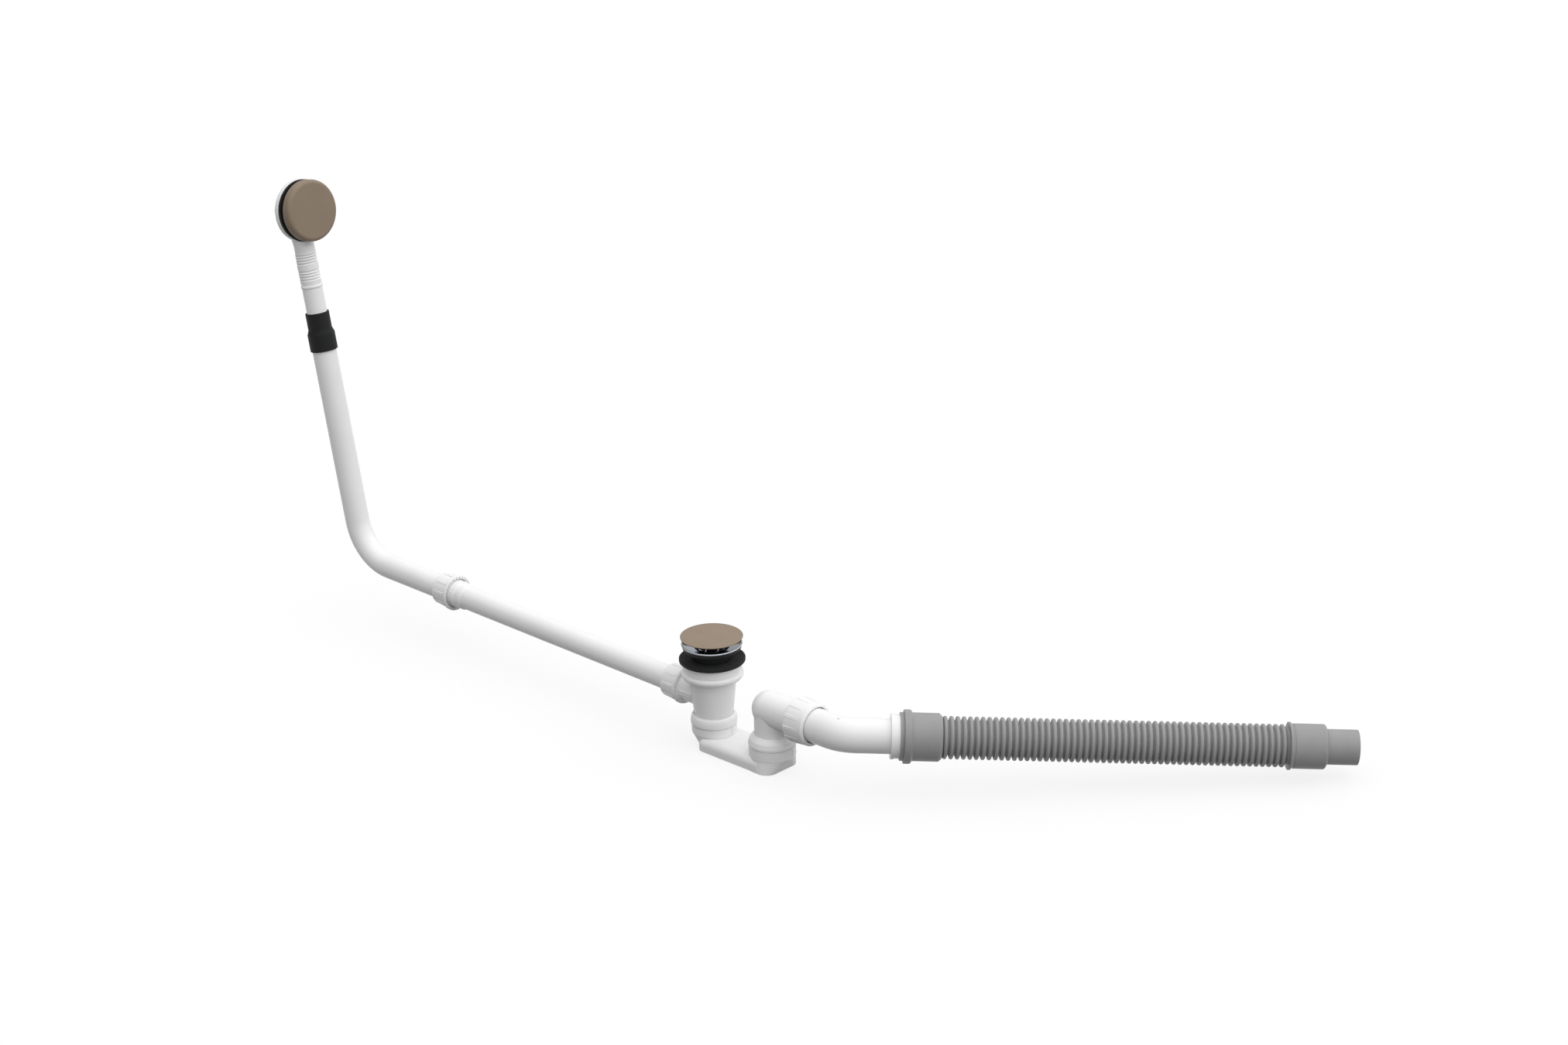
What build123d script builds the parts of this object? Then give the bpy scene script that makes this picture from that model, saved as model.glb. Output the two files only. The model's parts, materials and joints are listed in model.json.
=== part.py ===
from build123d import *
import math
import os

# Bath waste and overflow, in millimetres, +Z up
# The origin is on the waste axis, on the face of the gasket that seals against the underside of the bath.
# The drain runs towards +X and the overflow line towards -X, with the overflow line in the plane Y = 0.

# Clearances
clamped_gap = 0.1       # between curved pieces that are clamped, screwed or glued together
running_gap = 0.3       # between pieces that slide or turn on each other

# Rounded edges
fine_edge = 0.4
moulded_edge = 0.6
soft_edge = 0.8
rim_round = 1.2

# Plug
cap_radius = 36.05
cap_edge = 1.05
cap_crown = 1.1
cap_opening = 7.15      # open plug, from the lip of the flange to the underside of the cap
disc_radius = 26.0
disc_thickness = 1.2
disc_skirt = 2.6
disc_web = 1.8
seal_section = 1.6
seal_overhang = 1.5
stem_radius = 3.0
stem_length = 28.0
stem_boss = 6.0

# Waste flange, clamping screw and click cartridge
flange_radius = 35.15
flange_lip = 1.4
flange_wall = 1.2
dish_depth = 5.3
dish_rim = 1.6
throat_radius = 19.4
throat_depth = 19.2     # from the lip of the flange to the foot of its throat
flange_web = 4.0
flange_hub = 9.0
spoke_width = 2.2
bolt_radius = 6.0
bolt_length = 36.0
bolt_head = 5.0
bolt_head_flats = 15.0
bolt_bore = 4.5
bolt_bore_depth = 22.0
cartridge_radius = 6.5
cartridge_head = 4.0
cartridge_floor = 2.0

# Seals at the bath
bath_space = 11.0       # room for the bath between the two seals
flange_seal_depth = 5.3
flange_seal_taper = 1.8
gasket_radius = 38.2
gasket_thickness = 4.2
gasket_collar_wall = 1.3
gasket_ridges = 5
gasket_ridge_height = 0.7
gasket_ridge_pitch = 2.9

# Waste body
head_radius = 33.6
head_height = 11.3
groove_radius = 32.7
groove_width = 1.6
bead_radius = 36.0
bead_top = 13.2
bead_straight = 3.4
bead_depth = 20.0
head_foot_radius = 27.0
head_foot_depth = 22.8
column_top_radius = 26.0
column_top_depth = 32.8
column_foot_radius = 22.9
column_foot_depth = 63.8
tail_radius = 22.6
tail_length = 20.0
body_round = 2.0
bead_round = 1.4
body_wall = 3.0
body_bore = 23.6
body_web_depth = 12.8
body_web_height = 14.0
body_hub_wall = 2.4
insert_wall = 2.4
insert_length = 12.0

# Branch and lower overflow line
branch_depth = 49.3     # branch axis below the bath seat
branch_radius = 17.5
branch_reach = 41.7
branch_flange_radius = 21.9
branch_flange_thickness = 1.3
branch_flange_round = 3.0
branch_thread = 18.8
branch_thread_length = 17.0
branch_band_width = 5.8
branch_band_height = 0.5
branch_band_angle = -94.5
overflow_fall = 0.88    # degrees that the lower tube rises away from the waste
lower_tube_radius = 14.5
lower_tube_wall = 1.8
lower_tube_entry = 24.0
nut_wall = 2.3
nut_rim = 1.0
nut_seat = 3.0
nut_seal_length = 4.2
nut_ribs = 9
rib_width = 3.2
rib_height = 0.6
nut_lip = 1.2
nut_teeth = 24
tooth_width = 1.6
tooth_depth = 1.2
branch_nut_length = 24.4
tube_socket_steps = (15.7, 16.7, 17.8)
tube_socket_step_length = 11.0
tube_socket_bevel = 2.0
tube_socket_length = 38.4   # from the first bevel to the end of the thread
tube_thread_radius = 18.3
tube_thread_length = 13.9
tube_thread_end = 453.4
joint_nut_overlap = 17.8    # how far the joint nut reaches back over the socket
joint_nut_length = 25.4

# Upper overflow line
corner_distance = 607.3
overflow_lean = 10.79   # degrees that the upper tube leans from the upright
upper_tube_radius = 14.85
upper_tube_wall = 1.9
upper_tube_entry = 23.0
upper_bend_radius = 58.0
coupling_wide_length = 20.9
coupling_narrow_length = 26.9
coupling_step_length = 6.0
coupling_wall = 2.0

# Overflow head
neck_radius = 12.6
neck_wall = 1.8
neck_foot_length = 33.2     # plain neck between the coupling and the ring
neck_ring_height = 1.0
neck_ring_gap = 9.3
neck_plain_length = 7.7
neck_rib_width = 1.8
neck_rib_angle = 215.0
bellows_pitch = 3.4
bellows_folds = 4
bellows_band = 10.1
bellows_ridge = 13.1
bellows_groove = 11.6
fold_share = 0.4            # half width of a groove, as a share of the pitch
neck_drop = 43.9            # from the centre of the head down to the end of the straight neck
neck_blend = 21.0
head_distance = 442.9
chamber_radius = 25.5
chamber_back = 16.0
chamber_wall = 2.2
chamber_round = 7.0
head_flange_radius = 38.0
head_flange_back = 4.7
head_flange_thickness = 6.6
head_flange_rim = 2.4
head_gasket_thickness = 4.0
face_gap = 4.5
face_plate = 1.8
face_opening = 24.0
face_spokes = 3
clip_height = 6.0
water_slot = 40.0
screw_radius = 2.5
screw_head = 5.0
screw_head_height = 2.4
screw_length = 26.0
boss_wall = 2.2
cover_radius = 37.75
cover_depth = 11.8
cover_wall = 2.0
cover_edge = 5.0

# Trap
socket_mouth_depth = 70.0
collar_radius = 27.0
collar_lip = 0.9
collar_groove = 0.6
collar_seal_section = 2.1
collar_seal_height = 4.0
inlet_collar_height = 11.7
inlet_shoulder_radius = 25.5
inlet_shoulder_drop = 0.7
inlet_shoulder_round = 1.6
outlet_collar_height = 13.0
outlet_shoulder_radius = 26.0
outlet_shoulder_drop = 5.1
outlet_shoulder_round = 5.0
collar_bead_height = 2.6
skirt_slot_width = 1.2
skirt_slot_depth = 0.8
skirt_slot_angle = 5.0
skirt_radius = 26.1
skirt_wall = 2.1
outlet_distance = 92.1
outlet_mouth_depth = 67.5
outlet_collar_radius = 27.6
outlet_skirt_radius = 27.0
trap_foot_depth = 109.0
inlet_bowl_foot = 17.5
outlet_bowl_reach = 18.0    # from the axis of the outlet to the end of its foot
outlet_bowl_corner = 14.0
outlet_bowl_step = 0.6
duct_top_depth = 93.4
duct_width = 56.0
duct_start = -3.0
duct_corner = 9.0
duct_edge = 8.0
duct_foot_edge = 1.5
duct_hollow_corner = 5.0
trap_wall = 2.2

# Outlet
outlet_depth = 37.9     # axis of the outlet pipe below the bath seat
riser_radius = 20.3
riser_foot_depth = 92.0
elbow_radius = 20.7
elbow_back = 22.1
elbow_back_round = 19.0
elbow_thread_start = 38.9
elbow_thread_radius = 22.2
elbow_thread_length = 20.0
pipe_wall = 1.8
outlet_nut_stand_off = 0.7
outlet_nut_length = 28.9
outlet_nut_mouth = 1.2
outlet_nut_round = 3.0
outlet_nut_base = 26.2
outlet_nut_face = 24.9
outlet_nut_rim = 8.0
outlet_nut_ribs = 12
outlet_rib_width = 3.4
drain_radius = 20.0
drain_entry = 46.5
bend_distance = 106.82
bend_angle = 45.0
bend_radius = 42.0
gate_mark_radius = 1.8
gate_mark_height = 0.4
gate_mark_distance = 104.1
outlet_twist = 5.08     # degrees that the bend is turned about the outlet pipe, which gives the drain its fall

# Drain hose, measured along its axis from the corner of the bend
spigot_flange_start = 55.0
spigot_flange_thickness = 3.5
spigot_flange_radius = 25.7
spigot_collar_length = 6.5
spigot_collar_radius = 24.9
spigot_reach = 41.0
cuff_band_radius = 27.2
cuff_band_length = 4.3
cuff_bead_radius = 30.4
cuff_bead_length = 9.9
cuff_bead_chamfer = 2.4
cuff_skirt_length = 29.5
cuff_taper = 3.4
cuff_taper_radius = 24.2
cuff_seal_height = 5.2
hose_tail_radius = 21.0
hose_tail_overlap = 15.0
hose_bore = 18.6
hose_lead = 8.6             # from the cuff to the first ridge
ridge_pitch = 7.2365
ridge_count = 53
ridge_radius = 24.0
ridge_crest = 2.6
valley_radius = 20.2
sleeve_gap = 6.83           # from the last ridge to the lip of the sleeve
sleeve_lip_radius = 27.0
sleeve_lip_thickness = 2.2
sleeve_lip_length = 6.3
sleeve_radius = 25.4
sleeve_length = 34.9
sleeve_shoulder = 3.0
sleeve_taper = 2.7
end_spigot_length = 34.9
end_spigot_wall = 1.9

# Heights on the waste axis
seal_bottom = bath_space
flange_under = seal_bottom + flange_seal_depth
lip_top = flange_under + flange_lip
cap_under = lip_top + cap_opening
cap_rim = cap_under + cap_edge
dish_floor = lip_top - dish_depth
throat_foot = lip_top - throat_depth
web_top = throat_foot + flange_web
bolt_top = web_top + bolt_head
bolt_foot = web_top - bolt_length
cartridge_top = bolt_top + cartridge_head
cartridge_foot = bolt_top - bolt_bore_depth + clamped_gap
body_top = -gasket_thickness
throat_outer = throat_radius + flange_wall
gasket_bore = throat_outer + running_gap
collar_outer = gasket_bore + gasket_collar_wall
insert_bore = bolt_radius + clamped_gap
insert_radius = insert_bore + insert_wall
body_hub = insert_radius + clamped_gap + body_hub_wall

# Distances along the overflow line
branch_nut_start = branch_reach + branch_flange_thickness + clamped_gap
tube_socket_start = tube_thread_end - tube_socket_length
tube_thread_start = tube_thread_end - tube_thread_length
joint_nut_start = tube_thread_end - joint_nut_overlap
neck_end = head_distance - neck_drop
bellows_top = neck_end - neck_plain_length - bellows_folds * bellows_pitch
bellows_start = bellows_top - bellows_band - (bellows_folds - 1) * bellows_pitch
neck_ring = bellows_start - neck_ring_gap
coupling_end = neck_ring - neck_foot_length
coupling_step = coupling_end - coupling_narrow_length
coupling_start = coupling_step - coupling_wide_length

# Distances along the outlet and the drain
outlet_nut_start = elbow_thread_start + outlet_nut_stand_off
spigot_collar_end = spigot_flange_start + spigot_flange_thickness + spigot_collar_length
spigot_end = spigot_flange_start + spigot_reach
cuff_bead_start = spigot_collar_end + cuff_band_length
cuff_bead_end = cuff_bead_start + cuff_bead_length
cuff_end = cuff_bead_end + cuff_skirt_length
first_ridge = cuff_end + hose_lead
last_ridge = first_ridge + ridge_pitch * (ridge_count - 1)
sleeve_lip_start = last_ridge + sleeve_gap
sleeve_start = sleeve_lip_start + sleeve_lip_length
sleeve_end = sleeve_start + sleeve_length
end_spigot_start = sleeve_end + sleeve_taper

# Directions and axes
fall = math.radians(overflow_fall)
lean = math.radians(overflow_lean)
along_lower = Vector(-math.cos(fall), 0, math.sin(fall))
along_upper = Vector(-math.sin(lean), 0, math.cos(lean))
out_of_wall = Vector(math.cos(lean), 0, math.sin(lean))
branch_origin = Vector(0, 0, -branch_depth)
overflow_corner = branch_origin + along_lower * corner_distance
head_centre = overflow_corner + along_upper * head_distance
outlet_origin = Vector(outlet_distance, 0, -outlet_depth)
bend_corner = outlet_origin + Vector(bend_distance, 0, 0)
turn_angle = math.radians(bend_angle)
twist = math.radians(outlet_twist)
along_drain = Vector(
    math.cos(turn_angle),
    math.sin(turn_angle) * math.cos(twist),
    -math.sin(turn_angle) * math.sin(twist),
)


def section_plane(start, axis_direction, radial):
    """Plane of a half section: x runs out along a radius and y along the axis."""
    across = radial - axis_direction * radial.dot(axis_direction)
    return Plane(origin=start, x_dir=across, z_dir=across.cross(axis_direction))


waste_section = section_plane(Vector(0, 0, 0), Vector(0, 0, 1), Vector(1, 0, 0))
riser_section = section_plane(Vector(outlet_distance, 0, 0), Vector(0, 0, 1), Vector(1, 0, 0))
lower_section = section_plane(branch_origin, along_lower, Vector(0, 0, 1))
upper_section = section_plane(overflow_corner, along_upper, Vector(1, 0, 0))
head_section = section_plane(head_centre, out_of_wall, along_upper)
outlet_section = section_plane(outlet_origin, Vector(1, 0, 0), Vector(0, 0, 1))
drain_section = section_plane(bend_corner, along_drain, Vector(0, 0, 1))


def turned(outline, plane, mode=Mode.ADD):
    """Turn a closed half section round the y axis of its plane.

    A point of the outline is (radius, height), or (radius, height, corner radius).
    """
    with BuildSketch(plane) as half:
        with BuildLine():
            Polyline(*[point[:2] for point in outline], close=True)
        make_face()
        for radius, height, *corner in outline:
            if corner:
                fillet(half.vertices().sort_by_distance((radius, height))[0], radius=corner[0])
    revolve(half.sketch, axis=Axis(plane.origin, plane.y_dir), mode=mode)


def across_axis(plane, height):
    """Plane square to the axis of a section plane, at a height along that axis."""
    return Plane(origin=plane.origin + plane.y_dir * height, x_dir=plane.x_dir, z_dir=plane.y_dir)


def round_bar(plane, radius, start, end, mode=Mode.ADD):
    """Plain round bar along the axis of a section plane, from one height to another."""
    with BuildSketch(across_axis(plane, start)) as disc:
        Circle(radius)
    extrude(disc.sketch, amount=end - start, mode=mode)


def spokes(plane, count, inner, outer, width, start, end):
    """Flat radial webs between a hub and a wall."""
    with BuildSketch(across_axis(plane, start)) as web:
        with PolarLocations((inner + outer) / 2, count):
            Rectangle(outer - inner, width)
    extrude(web.sketch, amount=end - start)


def grip_ribs(plane, count, width, start, end, start_radius, end_radius):
    """Low grip pads of a hand nut, which follow the cone of its wall."""
    root = min(start_radius, end_radius) - nut_wall / 2
    with BuildSketch(plane) as profile:
        with BuildLine():
            Polyline(
                (root, start),
                (start_radius + rib_height, start),
                (end_radius + rib_height, end),
                (root, end),
                close=True,
            )
        make_face()
    rib = extrude(profile.sketch, amount=width / 2, both=True, mode=Mode.PRIVATE)
    for index in range(count):
        add(rib.rotate(Axis(plane.origin, plane.y_dir), index * 360 / count))


def finish(piece, label):
    """Name a finished piece and write it."""
    piece.part.label = label
    export_step(piece.part, f"parts/{label}.step")


os.makedirs("parts", exist_ok=True)

# Plug cap: a gently domed metal disc
with BuildPart() as plug_cap:
    with BuildSketch(Plane.XZ) as cap_half:
        with BuildLine():
            Line((0, cap_under), (cap_radius, cap_under))
            Line((cap_radius, cap_under), (cap_radius, cap_rim))
            TangentArc((0, cap_rim + cap_crown), (cap_radius, cap_rim), tangent=(1, 0))
            Line((0, cap_rim + cap_crown), (0, cap_under))
        make_face()
        fillet(cap_half.vertices().group_by(Axis.X)[-1], radius=cap_edge * 0.35)
    revolve(axis=Axis.Z)
finish(plug_cap, "plug_cap")

# Plug disc: the carrier under the cap, with the groove of the plug seal and the socket of the stem
groove_top = cap_under - disc_thickness
groove_foot = groove_top - seal_section - 2 * clamped_gap
groove_root = disc_radius - seal_section - seal_overhang
with BuildPart() as plug_disc:
    turned(
        [
            (stem_radius + clamped_gap, cap_under),
            (disc_radius, cap_under),
            (disc_radius, groove_top),
            (groove_root, groove_top),
            (groove_root, groove_foot),
            (groove_root + seal_overhang, groove_foot),
            (groove_root + seal_overhang, groove_top - disc_skirt),
            (groove_root - disc_web, groove_top - disc_skirt),
            (groove_root - disc_web, cap_under - disc_web),
            (stem_boss, cap_under - disc_web),
            (stem_boss, cap_under - stem_boss),
            (stem_radius + clamped_gap, cap_under - stem_boss),
        ],
        waste_section,
    )
finish(plug_disc, "plug_disc")

# Plug seal: the rubber ring that closes on the dish of the flange
with BuildPart() as plug_seal:
    turned(
        [
            (groove_root + clamped_gap, groove_top - clamped_gap),
            (disc_radius + seal_overhang - seal_section / 4, groove_top - clamped_gap),
            (disc_radius + seal_overhang, groove_top - seal_section / 2, seal_section / 4),
            (disc_radius, groove_foot + clamped_gap),
            (groove_root + clamped_gap, groove_foot + clamped_gap),
        ],
        waste_section,
    )
finish(plug_seal, "plug_seal")

# Plug stem
with BuildPart() as plug_stem:
    round_bar(waste_section, stem_radius, cap_under - stem_length, cap_under)
    chamfer(plug_stem.edges().group_by(Axis.Z)[0], length=soft_edge)
finish(plug_stem, "plug_stem")

# Click cartridge: holds the stem up or down, and stands in the hollow clamping screw
with BuildPart() as click_cartridge:
    turned(
        [
            (0, cartridge_foot),
            (bolt_bore - clamped_gap, cartridge_foot),
            (bolt_bore - clamped_gap, bolt_top),
            (cartridge_radius, bolt_top),
            (cartridge_radius, cartridge_top, moulded_edge),
            (stem_radius + running_gap, cartridge_top),
            (stem_radius + running_gap, cartridge_foot + cartridge_floor),
            (0, cartridge_foot + cartridge_floor),
        ],
        waste_section,
    )
finish(click_cartridge, "click_cartridge")

# Waste flange: thin dished bowl with a throat, and a cross web that carries the clamping screw
dish_edge = flange_radius - dish_rim
with BuildPart() as waste_flange:
    turned(
        [
            (throat_radius, throat_foot),
            (throat_radius, dish_floor, bead_round),
            (dish_edge, lip_top - flange_lip / 3, soft_edge),
            (flange_radius - dish_rim / 2, lip_top, fine_edge),
            (flange_radius, lip_top - flange_lip / 2, fine_edge),
            (flange_radius, flange_under),
            (dish_edge, flange_under),
            (throat_outer, dish_floor - flange_wall, soft_edge),
            (throat_outer, throat_foot),
        ],
        waste_section,
    )
    round_bar(waste_section, flange_hub, throat_foot, web_top)
    spokes(waste_section, 4, flange_hub / 2, throat_radius + flange_wall / 2, spoke_width, throat_foot, web_top)
    round_bar(waste_section, bolt_radius + clamped_gap, throat_foot, web_top, mode=Mode.SUBTRACT)
finish(waste_flange, "waste_flange")

# Flange seal: tapered black ring between the dish of the flange and the bath
seal_bore = throat_outer + flange_wall
with BuildPart() as flange_seal:
    turned(
        [
            (seal_bore, seal_bottom),
            (flange_radius - flange_seal_taper, seal_bottom, soft_edge),
            (flange_radius - clamped_gap, flange_under),
            (dish_edge, flange_under),
            (
                seal_bore,
                dish_floor
                - flange_wall
                + (flange_under - dish_floor + flange_wall) * (seal_bore - throat_outer) / (dish_edge - throat_outer),
            ),
        ],
        waste_section,
    )
finish(flange_seal, "flange_seal")

# Clamping screw: hollow screw with a hexagon head
with BuildPart() as clamp_bolt:
    with BuildSketch(Plane.XY.offset(web_top)):
        RegularPolygon(bolt_head_flats / 2, 6, major_radius=False)
    extrude(amount=bolt_head)
    round_bar(waste_section, bolt_radius, bolt_foot, web_top)
    chamfer(clamp_bolt.edges().group_by(Axis.Z)[0], length=soft_edge)
    round_bar(waste_section, bolt_bore, bolt_top - bolt_bore_depth, bolt_top, mode=Mode.SUBTRACT)
finish(clamp_bolt, "clamp_bolt")

# Waste gasket: broad black rubber ring with fine ridges and a collar that lines the hole of the bath
ridge_foot = -gasket_ridge_height
gasket_outline = [
    (gasket_bore, body_top),
    (gasket_radius, body_top, soft_edge),
    (gasket_radius, ridge_foot, fine_edge),
]
for index in range(gasket_ridges):
    crest = gasket_radius - rim_round - index * gasket_ridge_pitch
    gasket_outline += [
        (crest, ridge_foot),
        (crest - gasket_ridge_pitch / 4, 0),
        (crest - gasket_ridge_pitch / 2, 0),
        (crest - gasket_ridge_pitch * 3 / 4, ridge_foot),
    ]
gasket_outline += [
    (collar_outer, ridge_foot),
    (collar_outer, seal_bottom - running_gap),
    (gasket_bore, seal_bottom - running_gap),
]
with BuildPart() as waste_gasket:
    turned(gasket_outline, waste_section)
finish(waste_gasket, "waste_gasket")

# Waste body: beaded head, tapered column with its tail, and the branch of the overflow line
head_foot = body_top - head_foot_depth
column_top = body_top - column_top_depth
column_foot = body_top - column_foot_depth
tail_foot = column_foot - tail_length
branch_end = branch_reach + branch_flange_thickness + branch_thread_length
body_outline = [
    (0, body_top),
    (head_radius, body_top, moulded_edge),
    (head_radius, body_top - head_height, moulded_edge),
    (groove_radius, body_top - head_height - groove_width / 2),
    (head_radius, body_top - head_height - groove_width, fine_edge),
    (bead_radius, body_top - bead_top, rim_round),
    (bead_radius, body_top - bead_top - bead_straight, bead_round),
    (bead_radius - body_round, body_top - bead_depth, bead_round),
    (head_foot_radius, head_foot, body_round),
    (column_top_radius, column_top),
    (column_foot_radius, column_foot),
    (tail_radius, column_foot - soft_edge),
    (tail_radius, tail_foot, soft_edge),
    (0, tail_foot),
]
bore_outline = [
    (0, body_top),
    (body_bore, body_top),
    (body_bore, head_foot + body_wall),
    (column_top_radius - body_wall, column_top),
    (column_foot_radius - body_wall, column_foot),
    (column_foot_radius - body_wall, tail_foot),
    (0, tail_foot),
]
web_foot = body_top - body_web_depth - body_web_height
with BuildPart() as waste_body:
    turned(body_outline, waste_section)
    turned(
        [
            (0, 0),
            (branch_radius, 0),
            (branch_radius, branch_reach, branch_flange_round),
            (branch_flange_radius, branch_reach, fine_edge),
            (branch_flange_radius, branch_reach + branch_flange_thickness, fine_edge),
            (0, branch_reach + branch_flange_thickness),
        ],
        lower_section,
    )
    round_bar(lower_section, branch_thread, branch_reach, branch_end)
    with BuildSketch(across_axis(lower_section, column_foot_radius - body_wall)):
        with PolarLocations(branch_radius, 1, start_angle=branch_band_angle):
            Rectangle(2 * branch_band_height, branch_band_width)
    extrude(amount=branch_reach - column_foot_radius + body_wall)
    turned(bore_outline, waste_section, mode=Mode.SUBTRACT)
    round_bar(lower_section, lower_tube_radius - lower_tube_wall, 0, branch_end, mode=Mode.SUBTRACT)
    round_bar(
        lower_section,
        lower_tube_radius + clamped_gap,
        branch_end - lower_tube_entry - clamped_gap,
        branch_end,
        mode=Mode.SUBTRACT,
    )
    round_bar(waste_section, body_hub, web_foot, web_foot + body_web_height)
    spokes(waste_section, 4, body_hub / 2, body_bore + body_wall / 2, spoke_width, web_foot, web_foot + body_web_height)
    round_bar(waste_section, insert_radius + clamped_gap, web_foot, web_foot + insert_length, mode=Mode.SUBTRACT)
    round_bar(waste_section, insert_bore, web_foot, web_foot + body_web_height, mode=Mode.SUBTRACT)
finish(waste_body, "waste_body")

# Body insert: the brass nut moulded into the cross web of the waste body
with BuildPart() as body_insert:
    with BuildSketch(Plane.XY.offset(web_foot)):
        Circle(insert_radius)
        Circle(insert_bore, mode=Mode.SUBTRACT)
    extrude(amount=insert_length - clamped_gap)
finish(body_insert, "body_insert")


def collar_outline(inner, shoulder, bead, mouth, height):
    """Half section of a snap collar: thin lip, rounded shoulder, bead, and a pocket for its seal.

    The shoulder is (radius, drop below the mouth, corner radius).
    """
    shoulder_radius, shoulder_drop, shoulder_round = shoulder
    foot = mouth - height
    pocket = inner + collar_seal_section + clamped_gap
    pocket_top = foot + collar_seal_height + 2 * clamped_gap
    return [
        (inner, mouth),
        (inner + collar_lip, mouth, fine_edge),
        (shoulder_radius, mouth - shoulder_drop, shoulder_round),
        (bead, foot + collar_bead_height, soft_edge),
        (bead, foot, fine_edge),
        (pocket, foot),
        (pocket, pocket_top),
        (inner, pocket_top),
    ]


def collar_seal(inner, foot):
    """Square-section rubber ring in the pocket of a snap collar."""
    return [
        (inner, foot + clamped_gap),
        (inner + collar_seal_section, foot + clamped_gap, fine_edge),
        (inner + collar_seal_section, foot + clamped_gap + collar_seal_height, fine_edge),
        (inner, foot + clamped_gap + collar_seal_height),
    ]


# Trap inlet collar and its seal
inlet_bore = tail_radius + running_gap
inlet_mouth = -socket_mouth_depth
inlet_top = inlet_mouth - inlet_collar_height
inlet_shoulder = (inlet_shoulder_radius, inlet_shoulder_drop, inlet_shoulder_round)
with BuildPart() as trap_inlet_collar:
    turned(
        collar_outline(inlet_bore, inlet_shoulder, collar_radius, inlet_mouth, inlet_collar_height),
        waste_section,
    )
finish(trap_inlet_collar, "trap_inlet_collar")

with BuildPart() as trap_inlet_seal:
    turned(collar_seal(inlet_bore, inlet_top), waste_section)
finish(trap_inlet_seal, "trap_inlet_seal")

# Trap outlet collar and its seal
riser_bore = riser_radius + running_gap
outlet_mouth = -outlet_mouth_depth
outlet_top = outlet_mouth - outlet_collar_height
outlet_shoulder = (outlet_shoulder_radius, outlet_shoulder_drop, outlet_shoulder_round)
with BuildPart() as trap_outlet_collar:
    turned(
        collar_outline(riser_bore, outlet_shoulder, outlet_collar_radius, outlet_mouth, outlet_collar_height),
        riser_section,
    )
finish(trap_outlet_collar, "trap_outlet_collar")

with BuildPart() as trap_outlet_seal:
    turned(collar_seal(riser_bore, outlet_top), riser_section)
finish(trap_outlet_seal, "trap_outlet_seal")


def bowl_section(height, reach, half_width, corner):
    """Rounded outline of the outlet bowl at a height."""
    with BuildSketch(Plane(origin=(outlet_distance, 0, height))) as outline:
        RectangleRounded(2 * reach, 2 * half_width, corner)
    return outline.sketch


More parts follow.
